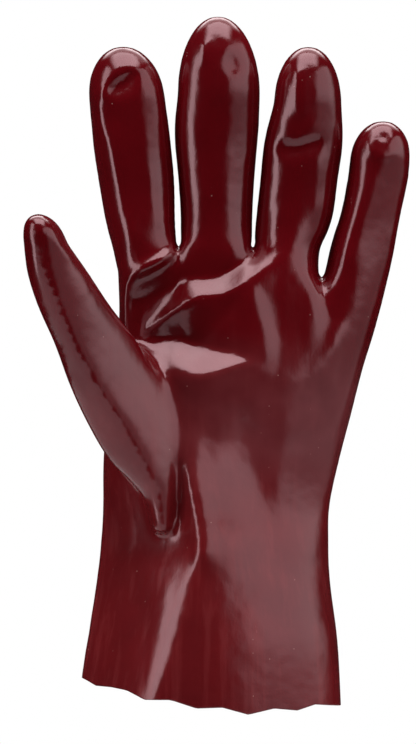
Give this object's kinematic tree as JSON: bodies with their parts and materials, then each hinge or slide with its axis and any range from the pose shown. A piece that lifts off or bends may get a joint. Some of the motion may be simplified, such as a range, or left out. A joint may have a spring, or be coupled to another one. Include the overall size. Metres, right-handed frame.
{
  "type": "chemical-resistant glove",
  "caption": "Left-hand dipped work glove: one hollow skin with five stalls, an opposed thumb, palm folds and a flared open cuff with an uneven cut edge.",
  "frame": {"origin": "centre of the cuff's mouth, at the height of the lowest point of its cut edge, where the forearm comes out", "axes": "+Z from the mouth up to the fingertips, -Y out of the palm, -X towards the thumb"},
  "size_m": [0.1502, 0.0983, 0.2698],
  "materials": {
    "dipped_pvc": "glossy dipped plasticised PVC, dark oxide red, smooth with soft folds"
  },
  "bodies": {
    "root": {"glove_shell": "dipped_pvc"}
  },
  "joints": []
}
